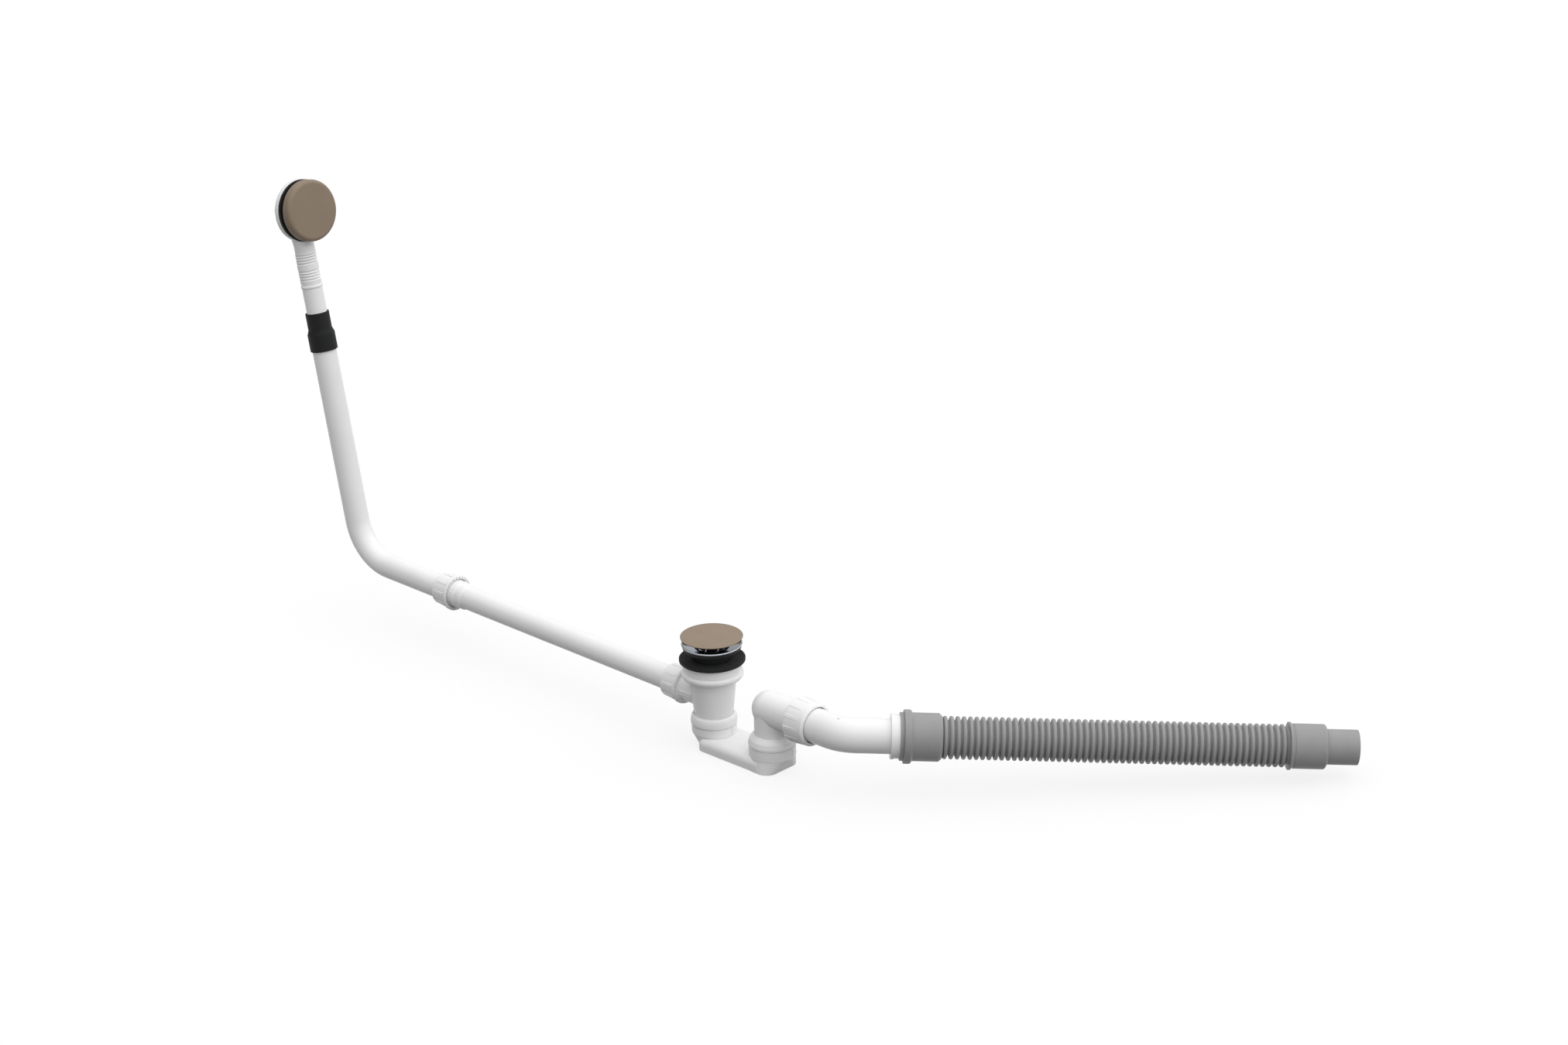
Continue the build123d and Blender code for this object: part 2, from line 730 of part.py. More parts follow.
# Trap base: low flat duct between the inlet socket and the rounded bowl of the outlet socket
duct_top = -duct_top_depth
trap_foot = -trap_foot_depth
duct_middle = (duct_start + outlet_distance) / 2
duct_length = outlet_distance - duct_start
bowl_top_radius = outlet_skirt_radius - outlet_bowl_step
bowl_inner_radius = bowl_top_radius - trap_wall
skirt_bore = skirt_radius - skirt_wall
with BuildPart() as trap_base:
    with BuildSketch(Plane.XY.offset(trap_foot)) as duct_plan:
        with Locations((duct_middle, 0)):
            Rectangle(duct_length, duct_width)
        fillet(duct_plan.vertices().group_by(Axis.X)[0], radius=duct_corner)
    extrude(amount=duct_top - trap_foot)
    fillet(trap_base.edges().group_by(Axis.Z)[-1], radius=duct_edge)
    fillet(trap_base.edges().group_by(Axis.Z)[0], radius=duct_foot_edge)
    loft(
        [
            bowl_section(trap_foot, outlet_bowl_reach, duct_width / 2, outlet_bowl_corner),
            bowl_section(duct_top, bowl_top_radius, bowl_top_radius, bowl_top_radius - clamped_gap),
        ]
    )
    turned(
        [
            (0, trap_foot),
            (inlet_bowl_foot, trap_foot, body_round),
            (skirt_radius, duct_top + trap_wall, body_round),
            (skirt_radius, inlet_top - collar_groove),
            (skirt_radius - collar_groove, inlet_top - collar_groove),
            (skirt_radius - collar_groove, inlet_top),
            (0, inlet_top),
        ],
        waste_section,
    )
    turned(
        [
            (0, duct_top - clamped_gap),
            (outlet_skirt_radius, duct_top - clamped_gap, fine_edge),
            (outlet_skirt_radius, outlet_top - collar_groove),
            (outlet_skirt_radius - collar_groove, outlet_top - collar_groove),
            (outlet_skirt_radius - collar_groove, outlet_top),
            (0, outlet_top),
        ],
        riser_section,
    )
    with BuildSketch(Plane.YZ):
        with Locations((0, (duct_top + trap_foot) / 2)):
            RectangleRounded(duct_width - 2 * trap_wall, duct_top - trap_foot - 2 * trap_wall, duct_hollow_corner)
    extrude(amount=outlet_distance, mode=Mode.SUBTRACT)
    loft(
        [
            bowl_section(
                trap_foot + trap_wall,
                outlet_bowl_reach - trap_wall,
                duct_width / 2 - trap_wall,
                outlet_bowl_corner - trap_wall,
            ),
            bowl_section(duct_top, bowl_inner_radius, bowl_inner_radius, bowl_inner_radius - clamped_gap),
        ],
        mode=Mode.SUBTRACT,
    )
    turned(
        [
            (0, trap_foot + trap_wall),
            (inlet_bowl_foot - trap_wall, trap_foot + trap_wall),
            (skirt_bore, duct_top + trap_wall),
            (skirt_bore, inlet_top),
            (0, inlet_top),
        ],
        waste_section,
        mode=Mode.SUBTRACT,
    )
    round_bar(riser_section, bowl_inner_radius, duct_top - clamped_gap, outlet_top, mode=Mode.SUBTRACT)
    with BuildSketch(Plane.XY.offset(duct_top + skirt_slot_width)):
        with PolarLocations(skirt_radius, 1, start_angle=skirt_slot_angle):
            Rectangle(2 * skirt_slot_depth, skirt_slot_width)
        with Locations((outlet_distance, 0)):
            with PolarLocations(outlet_skirt_radius, 1, start_angle=2 * skirt_slot_angle):
                Rectangle(2 * skirt_slot_depth, skirt_slot_width)
    extrude(amount=inlet_top - collar_groove - skirt_slot_width - duct_top, mode=Mode.SUBTRACT)
finish(trap_base, "trap_base")

# Outlet elbow: riser and closed-back outlet pipe with the threaded socket of the bend
elbow_thread_end = elbow_thread_start + elbow_thread_length
drain_bore = drain_radius - pipe_wall
with BuildPart() as outlet_elbow:
    round_bar(riser_section, riser_radius, -riser_foot_depth, -outlet_depth)
    turned(
        [
            (0, -elbow_back),
            (elbow_radius, -elbow_back, elbow_back_round),
            (elbow_radius, elbow_thread_start),
            (elbow_thread_radius, elbow_thread_start),
            (elbow_thread_radius, elbow_thread_end),
            (0, elbow_thread_end),
        ],
        outlet_section,
    )
    turned(
        [
            (0, -elbow_back + pipe_wall),
            (drain_bore, -elbow_back + pipe_wall, elbow_back_round - pipe_wall),
            (drain_bore, drain_entry),
            (drain_radius + clamped_gap, drain_entry),
            (drain_radius + clamped_gap, elbow_thread_end),
            (0, elbow_thread_end),
        ],
        outlet_section,
        mode=Mode.SUBTRACT,
    )
    round_bar(riser_section, riser_radius - pipe_wall, -riser_foot_depth, -outlet_depth, mode=Mode.SUBTRACT)
finish(outlet_elbow, "outlet_elbow")


def nut_bore(tube, thread, open_end, closed_end):
    """Half section of the space in a compression nut: thread, cone of the seal and hole of the tube."""
    step = math.copysign(1, closed_end - open_end)
    return [
        (0, open_end),
        (thread + clamped_gap, open_end),
        (thread + clamped_gap, closed_end - step * (nut_seat + nut_seal_length)),
        (tube + nut_wall / 2, closed_end - step * nut_seat),
        (tube + 2 * clamped_gap, closed_end - step * nut_seat),
        (tube + 2 * clamped_gap, closed_end),
        (0, closed_end),
    ]


def nut_seal(tube, thread, open_end, closed_end):
    """Half section of the tapered rubber ring that a compression nut squeezes on its tube."""
    step = math.copysign(1, closed_end - open_end)
    thick_end = closed_end - step * (nut_seat + nut_seal_length - clamped_gap)
    thin_end = closed_end - step * (nut_seat + clamped_gap)
    return [
        (tube + clamped_gap, thick_end),
        (thread - clamped_gap, thick_end),
        (tube + nut_wall / 2 - clamped_gap, thin_end),
        (tube + clamped_gap, thin_end),
    ]


# Outlet nut: ribbed compression nut with a plain front face
outlet_nut_end = outlet_nut_start + outlet_nut_length
with BuildPart() as outlet_nut:
    turned(
        [
            (0, outlet_nut_start),
            (outlet_nut_base - nut_wall, outlet_nut_start),
            (outlet_nut_base, outlet_nut_start + nut_wall, soft_edge),
            (outlet_nut_face, outlet_nut_end, outlet_nut_round),
            (0, outlet_nut_end),
        ],
        outlet_section,
    )
    grip_ribs(
        outlet_section,
        outlet_nut_ribs,
        outlet_rib_width,
        outlet_nut_start + nut_wall,
        outlet_nut_end - outlet_nut_rim,
        outlet_nut_base,
        outlet_nut_face,
    )
    turned(
        nut_bore(drain_radius, elbow_thread_radius, outlet_nut_start, outlet_nut_end),
        outlet_section,
        mode=Mode.SUBTRACT,
    )
    round_bar(
        outlet_section,
        drain_radius + outlet_nut_mouth,
        outlet_nut_end - nut_seat,
        outlet_nut_end,
        mode=Mode.SUBTRACT,
    )
finish(outlet_nut, "outlet_nut")

with BuildPart() as outlet_nut_seal:
    turned(nut_seal(drain_radius, elbow_thread_radius, outlet_nut_start, outlet_nut_end), outlet_section)
finish(outlet_nut_seal, "outlet_nut_seal")

# Outlet bend: smooth bend with a thin flange and a collar in front of its spigot
bend_start = outlet_origin + Vector(drain_entry + clamped_gap, 0, 0)
with BuildPart() as outlet_bend:
    with BuildLine() as bend_path:
        FilletPolyline(bend_start, bend_corner, bend_corner + along_drain * spigot_end, radius=bend_radius)
    with BuildSketch(Plane(origin=bend_start, z_dir=(1, 0, 0))) as pipe_section:
        Circle(drain_radius)
    sweep(path=bend_path.line)
    round_bar(drain_section, spigot_flange_radius, spigot_flange_start, spigot_flange_start + spigot_flange_thickness)
    round_bar(drain_section, spigot_collar_radius, spigot_flange_start, spigot_collar_end)
    with BuildSketch(Plane(origin=outlet_origin + Vector(gate_mark_distance, 0, 0))):
        Circle(gate_mark_radius)
    extrude(amount=drain_radius + gate_mark_height)
    with BuildSketch(Plane(origin=bend_start, z_dir=(1, 0, 0))) as pipe_bore:
        Circle(drain_bore)
    sweep(path=bend_path.line, mode=Mode.SUBTRACT)
finish(outlet_bend, "outlet_bend")

# Hose socket: grey cuff with a bead that holds the seal of the drain hose
cuff_tip = cuff_end + cuff_taper
cuff_seal_start = cuff_bead_start + (cuff_bead_length - cuff_seal_height) / 2
hose_start = cuff_tip - hose_tail_overlap
with BuildPart() as hose_socket:
    turned(
        [
            (drain_radius + clamped_gap, spigot_collar_end),
            (cuff_band_radius, spigot_collar_end, fine_edge),
            (cuff_band_radius, cuff_bead_start),
            (cuff_bead_radius, cuff_bead_start, soft_edge),
            (cuff_bead_radius, cuff_bead_end - cuff_bead_chamfer, soft_edge),
            (cuff_band_radius, cuff_bead_end),
            (cuff_band_radius, cuff_end, soft_edge),
            (cuff_taper_radius, cuff_tip),
            (hose_tail_radius + clamped_gap, cuff_tip),
            (hose_tail_radius + clamped_gap, hose_start - clamped_gap),
            (drain_radius + clamped_gap, hose_start - clamped_gap),
            (drain_radius + clamped_gap, cuff_seal_start + cuff_seal_height),
            (cuff_band_radius - pipe_wall, cuff_seal_start + cuff_seal_height),
            (cuff_band_radius - pipe_wall, cuff_seal_start),
            (drain_radius + clamped_gap, cuff_seal_start),
        ],
        drain_section,
    )
finish(hose_socket, "hose_socket")

with BuildPart() as hose_socket_seal:
    turned(
        [
            (drain_radius + clamped_gap, cuff_seal_start + clamped_gap),
            (cuff_band_radius - pipe_wall - clamped_gap, cuff_seal_start + clamped_gap),
            (cuff_band_radius - pipe_wall - clamped_gap, cuff_seal_start + cuff_seal_height - clamped_gap),
            (drain_radius + clamped_gap, cuff_seal_start + cuff_seal_height - clamped_gap),
        ],
        drain_section,
    )
finish(hose_socket_seal, "hose_socket_seal")

# Corrugated hose: plain tails and a row of ridges on a smooth bore
hose_end = sleeve_start + hose_tail_overlap
hose_outline = [(hose_bore, hose_start), (hose_tail_radius, hose_start)]
for index in range(ridge_count):
    ridge = first_ridge + ridge_pitch * index
    hose_outline += [
        (valley_radius if index else hose_tail_radius, ridge - ridge_pitch / 2),
        (ridge_radius, ridge - ridge_crest / 2),
        (ridge_radius, ridge + ridge_crest / 2),
    ]
hose_outline += [
    (hose_tail_radius, last_ridge + ridge_pitch / 2),
    (hose_tail_radius, hose_end),
    (hose_bore, hose_end),
]
with BuildPart() as corrugated_hose:
    turned(hose_outline, drain_section)
finish(corrugated_hose, "corrugated_hose")

# Hose spigot: flared lip, sleeve and plain spigot for the waste pipe in the floor
end_spigot_end = end_spigot_start + end_spigot_length
end_bore = drain_radius - end_spigot_wall
with BuildPart() as hose_spigot:
    turned(
        [
            (hose_tail_radius + clamped_gap, sleeve_lip_start),
            (sleeve_lip_radius, sleeve_lip_start, moulded_edge),
            (sleeve_lip_radius, sleeve_lip_start + sleeve_lip_thickness, moulded_edge),
            (sleeve_radius - moulded_edge, sleeve_start - bead_round),
            (sleeve_radius, sleeve_start),
            (sleeve_radius, sleeve_end, sleeve_shoulder),
            (drain_radius, end_spigot_start),
            (drain_radius, end_spigot_end, moulded_edge),
            (end_bore, end_spigot_end),
            (end_bore, hose_end + clamped_gap),
            (hose_tail_radius + clamped_gap, hose_end + clamped_gap),
        ],
        drain_section,
    )
finish(hose_spigot, "hose_spigot")


def hand_nut(plane, tube, thread, open_end, closed_end):
    """Ribbed hand nut of the overflow line: lipped open end, tapered wall and small closed end."""
    step = math.copysign(1, closed_end - open_end)
    wall = thread + nut_wall
    turned(
        [
            (0, open_end),
            (wall + nut_lip, open_end, fine_edge),
            (wall + nut_lip, open_end + step * nut_seat, fine_edge),
            (wall, open_end + step * nut_seat),
            (wall - nut_lip, closed_end, rim_round),
            (0, closed_end),
        ],
        plane,
    )
    pads_start = open_end + step * (nut_seat + nut_rim)
    pads_end = closed_end - step * (nut_seat + nut_rim)
    grip_ribs(plane, nut_ribs, rib_width, pads_start, pads_end, wall, wall - nut_lip)
    turned(nut_bore(tube, thread, open_end, closed_end), plane, mode=Mode.SUBTRACT)


# Branch nut and its seal
branch_nut_end = branch_nut_start + branch_nut_length
with BuildPart() as branch_nut:
    hand_nut(lower_section, lower_tube_radius, branch_thread, branch_nut_start, branch_nut_end)
finish(branch_nut, "branch_nut")

with BuildPart() as branch_nut_seal:
    turned(nut_seal(lower_tube_radius, branch_thread, branch_nut_start, branch_nut_end), lower_section)
finish(branch_nut_seal, "branch_nut_seal")

# Lower overflow tube: plain tube that widens in three bevelled steps to a threaded socket
lower_tube_start = branch_end - lower_tube_entry
lower_tube_bore = lower_tube_radius - lower_tube_wall
socket_bore = upper_tube_radius + clamped_gap
upper_tube_start = tube_thread_end - upper_tube_entry
tube_outline = [(lower_tube_bore, lower_tube_start), (lower_tube_radius, lower_tube_start)]
step_radius = lower_tube_radius
for index, next_radius in enumerate(tube_socket_steps):
    step_start = tube_socket_start + index * tube_socket_step_length
    tube_outline += [(step_radius, step_start), (next_radius, step_start + tube_socket_bevel)]
    step_radius = next_radius
with BuildPart() as lower_overflow_tube:
    turned(
        tube_outline
        + [
            (step_radius, tube_thread_start),
            (tube_thread_radius, tube_thread_start),
            (tube_thread_radius, tube_thread_end),
            (socket_bore, tube_thread_end),
            (socket_bore, upper_tube_start - clamped_gap),
            (lower_tube_bore, upper_tube_start - lower_tube_wall - clamped_gap),
        ],
        lower_section,
    )
finish(lower_overflow_tube, "lower_overflow_tube")

# Joint nut and its seal
joint_nut_end = joint_nut_start + joint_nut_length
with BuildPart() as joint_nut:
    hand_nut(lower_section, upper_tube_radius, tube_thread_radius, joint_nut_start, joint_nut_end)
    with BuildSketch(across_axis(lower_section, joint_nut_start)):
        with PolarLocations(tube_thread_radius + nut_wall / 2, nut_teeth):
            Rectangle(nut_wall, tooth_width)
    extrude(amount=tooth_depth, mode=Mode.SUBTRACT)
finish(joint_nut, "joint_nut")

with BuildPart() as joint_nut_seal:
    turned(nut_seal(upper_tube_radius, tube_thread_radius, joint_nut_start, joint_nut_end), lower_section)
finish(joint_nut_seal, "joint_nut_seal")

# Upper overflow tube: bent tube from the joint up to the coupling
bent_start = branch_origin + along_lower * upper_tube_start
bent_end = overflow_corner + along_upper * coupling_step
with BuildPart() as upper_overflow_tube:
    with BuildLine() as bent_path:
        FilletPolyline(bent_start, overflow_corner, bent_end, radius=upper_bend_radius)
    with BuildSketch(Plane(origin=bent_start, z_dir=along_lower)) as bent_section:
        Circle(upper_tube_radius)
        Circle(upper_tube_radius - upper_tube_wall, mode=Mode.SUBTRACT)
    sweep(path=bent_path.line)
finish(upper_overflow_tube, "upper_overflow_tube")

# Tube coupling: stepped black rubber sleeve between the bent tube and the neck of the overflow
coupling_ledge = coupling_step + clamped_gap
neck_start = coupling_step + coupling_step_length / 2
with BuildPart() as tube_coupling:
    turned(
        [
            (upper_tube_radius + clamped_gap, coupling_start),
            (upper_tube_radius + clamped_gap + coupling_wall, coupling_start, moulded_edge),
            (upper_tube_radius + clamped_gap + coupling_wall, coupling_step, bead_round),
            (neck_radius + clamped_gap + coupling_wall, coupling_step + coupling_step_length, bead_round),
            (neck_radius + clamped_gap + coupling_wall, coupling_end, moulded_edge),
            (neck_radius + clamped_gap, coupling_end),
            (neck_radius + clamped_gap, neck_start - clamped_gap),
            (neck_radius - neck_wall, neck_start - clamped_gap),
            (neck_radius - neck_wall, coupling_ledge),
            (upper_tube_radius + clamped_gap, coupling_ledge),
        ],
        upper_section,
    )
finish(tube_coupling, "tube_coupling")


def neck_side(offset):
    """One side of the neck wall, from its foot to its top, with the rings and folds of the bellows."""
    plain = neck_radius - offset
    side = [(plain, neck_start)]
    side += [
        (plain, neck_ring - 2 * neck_ring_height),
        (plain + neck_ring_height, neck_ring - neck_ring_height),
        (plain + neck_ring_height, neck_ring + neck_ring_height),
        (plain, neck_ring + 2 * neck_ring_height),
    ]
    for group in (bellows_start, bellows_top):
        for fold in range(bellows_folds):
            groove = group + fold * bellows_pitch
            side += [
                (bellows_ridge - offset, groove - bellows_pitch * fold_share),
                (bellows_groove - offset, groove),
                (bellows_ridge - offset, groove + bellows_pitch * fold_share),
            ]
    side += [(plain, bellows_top + bellows_folds * bellows_pitch), (plain, neck_end)]
    return side


def neck_blend_section(offset):
    """Flattened opening where the neck enters the back of the overflow chamber."""
    mouth_depth = (chamber_back + head_flange_back) / 2
    middle = (head_flange_back - chamber_back) / 2
    place = overflow_corner + along_upper * (neck_end + neck_blend) + out_of_wall * middle
    with BuildSketch(Plane(origin=place, x_dir=(0, 1, 0), z_dir=along_upper)) as opening:
        Ellipse(neck_radius - offset, mouth_depth - chamber_wall / 2 - offset)
    return opening.sketch


def neck_top_section(offset):
    """Round top of the straight neck."""
    place = overflow_corner + along_upper * neck_end
    with BuildSketch(Plane(origin=place, x_dir=(0, 1, 0), z_dir=along_upper)) as top:
        Circle(neck_radius - offset)
    return top.sketch


# Overflow body: bellows neck, round chamber, flange and screw boss in one moulding
chamber_front = head_flange_back + head_flange_thickness
plate_back = chamber_front - head_flange_rim
chamber_bore = chamber_radius - chamber_wall
boss_radius = screw_radius + clamped_gap + boss_wall
face_back = chamber_front + head_gasket_thickness
screw_seat = face_back + face_plate
with BuildPart() as overflow_body:
    turned([(0, neck_start)] + neck_side(0) + [(0, neck_end)], upper_section)
    loft([neck_top_section(0), neck_blend_section(0)])
    turned(
        [
            (0, -chamber_back),
            (chamber_radius, -chamber_back, chamber_round),
            (chamber_radius, plate_back),
            (head_flange_radius - head_flange_rim, plate_back),
            (head_flange_radius - head_flange_rim, head_flange_back),
            (head_flange_radius, head_flange_back, moulded_edge),
            (head_flange_radius, chamber_front, moulded_edge),
            (0, chamber_front),
        ],
        head_section,
    )
    with BuildSketch(across_axis(upper_section, bellows_start - bellows_pitch)):
        with PolarLocations(bellows_groove, 1, start_angle=neck_rib_angle):
            Rectangle(2 * (bellows_ridge - bellows_groove), neck_rib_width)
    extrude(amount=bellows_top + bellows_folds * bellows_pitch - bellows_start)
    turned([(0, neck_start)] + neck_side(neck_wall) + [(0, neck_end)], upper_section, mode=Mode.SUBTRACT)
    loft([neck_top_section(neck_wall), neck_blend_section(neck_wall)], mode=Mode.SUBTRACT)
    turned(
        [
            (0, -chamber_back + chamber_wall),
            (chamber_bore, -chamber_back + chamber_wall, chamber_round - chamber_wall),
            (chamber_bore, chamber_front),
            (0, chamber_front),
        ],
        head_section,
        mode=Mode.SUBTRACT,
    )
    round_bar(head_section, boss_radius, chamber_wall / 2 - chamber_back, plate_back)
    round_bar(
        head_section, screw_radius + clamped_gap, screw_seat - screw_length - running_gap, plate_back, mode=Mode.SUBTRACT
    )
finish(overflow_body, "overflow_body")

# Overflow gasket: thick black ring that seals on the back of the bath wall
with BuildPart() as overflow_gasket:
    turned(
        [
            (chamber_bore, chamber_front),
            (head_flange_radius, chamber_front, soft_edge),
            (head_flange_radius, face_back, soft_edge),
            (chamber_bore, face_back),
        ],
        head_section,
    )
finish(overflow_gasket, "overflow_gasket")

# Overflow face: open ring with a hub for the screw, and clips that hold the cover between wide water slots
cover_back = face_back + face_gap
cover_front = cover_back + cover_depth
face_radius = cover_radius - cover_wall - clamped_gap
with BuildPart() as overflow_face:
    with BuildSketch(across_axis(head_section, face_back)):
        Circle(face_radius)
        Circle(face_opening - face_plate, mode=Mode.SUBTRACT)
        Circle(2 * screw_head)
    extrude(amount=face_plate)
    spokes(
        head_section, face_spokes, screw_head, face_opening, 2 * screw_head, face_back, screw_seat
    )
    with BuildSketch(across_axis(head_section, screw_seat)):
        Circle(face_radius)
        Circle(face_radius - face_plate, mode=Mode.SUBTRACT)
        with PolarLocations(face_radius, face_spokes, start_angle=180 / face_spokes):
            Rectangle(face_radius, water_slot, mode=Mode.SUBTRACT)
    extrude(amount=face_gap - face_plate + clip_height)
    round_bar(head_section, screw_radius + clamped_gap, face_back, screw_seat, mode=Mode.SUBTRACT)
finish(overflow_face, "overflow_face")

# Overflow screw
with BuildPart() as overflow_screw:
    round_bar(head_section, screw_head, screw_seat, screw_seat + screw_head_height)
    round_bar(head_section, screw_radius, screw_seat - screw_length, screw_seat)
finish(overflow_screw, "overflow_screw")

# Overflow cover: deep round puck, open at the back
with BuildPart() as overflow_cover:
    turned(
        [
            (0, cover_front - cover_wall),
            (cover_radius - cover_wall, cover_front - cover_wall, cover_edge - cover_wall),
            (cover_radius - cover_wall, cover_back),
            (cover_radius, cover_back, fine_edge),
            (cover_radius, cover_front, cover_edge),
            (0, cover_front),
        ],
        head_section,
    )
finish(overflow_cover, "overflow_cover")
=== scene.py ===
"""Bath waste and overflow: finishes, fine pieces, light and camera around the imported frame."""

import json
import logging
import math
from dataclasses import dataclass, field
from enum import Enum

import bmesh
import bpy
from mathutils import Matrix, Vector


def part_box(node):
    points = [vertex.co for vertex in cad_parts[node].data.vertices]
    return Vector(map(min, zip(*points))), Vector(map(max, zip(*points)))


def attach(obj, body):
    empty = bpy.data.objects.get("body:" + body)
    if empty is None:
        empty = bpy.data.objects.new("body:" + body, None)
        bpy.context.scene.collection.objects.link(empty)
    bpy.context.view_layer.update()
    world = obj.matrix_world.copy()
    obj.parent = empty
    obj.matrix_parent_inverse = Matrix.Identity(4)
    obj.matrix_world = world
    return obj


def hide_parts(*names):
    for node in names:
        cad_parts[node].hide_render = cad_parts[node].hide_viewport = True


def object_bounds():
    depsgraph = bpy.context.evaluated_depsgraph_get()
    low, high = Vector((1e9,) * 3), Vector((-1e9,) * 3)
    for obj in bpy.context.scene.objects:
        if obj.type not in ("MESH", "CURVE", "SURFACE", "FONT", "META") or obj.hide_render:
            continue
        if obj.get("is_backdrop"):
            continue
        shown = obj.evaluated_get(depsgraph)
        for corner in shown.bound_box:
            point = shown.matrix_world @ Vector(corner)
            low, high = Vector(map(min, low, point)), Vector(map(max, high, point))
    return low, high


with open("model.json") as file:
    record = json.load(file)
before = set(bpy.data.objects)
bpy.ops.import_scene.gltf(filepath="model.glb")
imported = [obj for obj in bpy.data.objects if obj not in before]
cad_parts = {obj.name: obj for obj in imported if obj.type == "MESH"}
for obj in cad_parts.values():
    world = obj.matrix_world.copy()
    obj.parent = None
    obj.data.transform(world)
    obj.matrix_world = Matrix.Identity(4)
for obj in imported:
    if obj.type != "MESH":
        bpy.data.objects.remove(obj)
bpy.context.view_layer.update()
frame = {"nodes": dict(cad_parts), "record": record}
MM = 0.001
SPIGOT_DISTANCE = 561.6    # from the corner of the outlet bend to the middle of the drain spigot, in mm
CLOUD_DETAIL = 3.0
CLOUD_ROUGHNESS = 0.5
GRAIN_DETAIL = 2.0
RELIEF_STRENGTH = 0.6
PLAIN_GRAIN = (1.0, 1.0, 1.0)
TURNED_GRAIN = (1.0, 1.0, 6.0)    # grain pressed flat along Z, much as turning leaves it
WHITE = "#ffffff"
log = logging.getLogger("bath_waste")


def linear(hex_colour: str) -> tuple[float, float, float, float]:
    """Turn an sRGB hex colour into the linear colour that a shader socket takes.

    Args:
        hex_colour: Colour as "#rrggbb".

    Returns:
        Linear red, green, blue and an alpha of one.
    """
    parts = [int(hex_colour[i:i + 2], 16) / 255 for i in (1, 3, 5)]
    red, green, blue = [c / 12.92 if c <= 0.04045 else ((c + 0.055) / 1.055) ** 2.4 for c in parts]
    return red, green, blue, 1.0


def add_node(
    tree: bpy.types.NodeTree, kind: str, settings: dict | None = None, links: dict | None = None
) -> bpy.types.Node:
    """Add a shader node, set its values and link its inputs.

    Args:
        tree: Node tree that takes the node.
        kind: Blender's name of the node's type.
        settings: Property names or input names, with their values.
        links: Input names, each with the output socket that feeds it.

    Returns:
        The new node.
    """
    node = tree.nodes.new(kind)
    for name, value in (settings or {}).items():
        if isinstance(name, str) and hasattr(node, name):
            setattr(node, name, value)
        else:
            node.inputs[name].default_value = value
    for name, source in (links or {}).items():
        tree.links.new(source, node.inputs[name])
    return node


class Surface(Enum):
    """How the surface of a finish was made, which sets its fine relief."""

    MOULDED = "moulded"
    SPRAYED = "sprayed"
    PLATED = "plated"
    TURNED = "turned"


@dataclass(frozen=True)
class Finish:
    """A real material with the way its surface was made.

    Attributes:
        name: Common name of the material and its making.
        colour: sRGB hex of the clean material; in the chrome it is darkened with painted shade.
        shade: sRGB hex that the cloudy variation leans to.
        metallic: One for bare or plated metal, else zero.
        roughness: Mean roughness.
        roughness_spread: How far the roughness wanders from the mean.
        ior: Refractive index, or None to keep the default of a metal.
        grain_mm: Size of the fine relief.
        relief_mm: Height of the fine relief.
        cloud_mm: Size of the cloudy variation.
        surface: How the surface was made.
        specular: Strength of the clear reflection, lower on porous rubber.
    """

    name: str
    colour: str
    shade: str
    metallic: float
    roughness: float
    roughness_spread: float
    ior: float | None
    grain_mm: float
    relief_mm: float
    cloud_mm: float
    surface: Surface
    specular: float = 0.5

    def material(self) -> bpy.types.Material:
        """Build the finish as a node material, once.

        Returns:
            The material, shared by all the pieces that have this finish.
        """
        made = bpy.data.materials.get(self.name)
        if made:
            return made
        made = bpy.data.materials.new(self.name)
        made.use_nodes = True
        tree = made.node_tree
        tree.nodes.clear()
        place = add_node(tree, "ShaderNodeTexCoord").outputs["Object"]
        clouds = add_node(
            tree,
            "ShaderNodeTexNoise",
            {"Scale": 1 / (self.cloud_mm * MM), "Detail": CLOUD_DETAIL, "Roughness": CLOUD_ROUGHNESS},
            {"Vector": place},
        ).outputs["Fac"]
        tint = add_node(
            tree,
            "ShaderNodeMix",
            {"data_type": "RGBA", 6: linear(self.colour), 7: linear(self.shade)},
            {0: clouds},
        ).outputs[2]
        wander = add_node(
            tree,
            "ShaderNodeMapRange",
            {
                "To Min": self.roughness - self.roughness_spread,
                "To Max": self.roughness + self.roughness_spread,
            },
            {"Value": clouds},
        ).outputs["Result"]
        stretch = TURNED_GRAIN if self.surface is Surface.TURNED else PLAIN_GRAIN
        grain_place = add_node(
            tree, "ShaderNodeMapping", {"Scale": stretch}, {"Vector": place}
        ).outputs["Vector"]
        grain = add_node(
            tree,
            "ShaderNodeTexNoise",
            {"Scale": 1 / (self.grain_mm * MM), "Detail": GRAIN_DETAIL},
            {"Vector": grain_place},
        ).outputs["Fac"]
        relief = add_node(
            tree,
            "ShaderNodeBump",
            {"Strength": RELIEF_STRENGTH, "Distance": self.relief_mm * MM},
            {"Height": grain},
        ).outputs["Normal"]
        shader = add_node(
            tree,
            "ShaderNodeBsdfPrincipled",
            {"Metallic": self.metallic, "Specular IOR Level": self.specular},
            {"Base Color": tint, "Roughness": wander, "Normal": relief},
        )
        if self.ior is not None:
            shader.inputs["IOR"].default_value = self.ior
        add_node(tree, "ShaderNodeOutputMaterial", None, {"Surface": shader.outputs["BSDF"]})
        return made


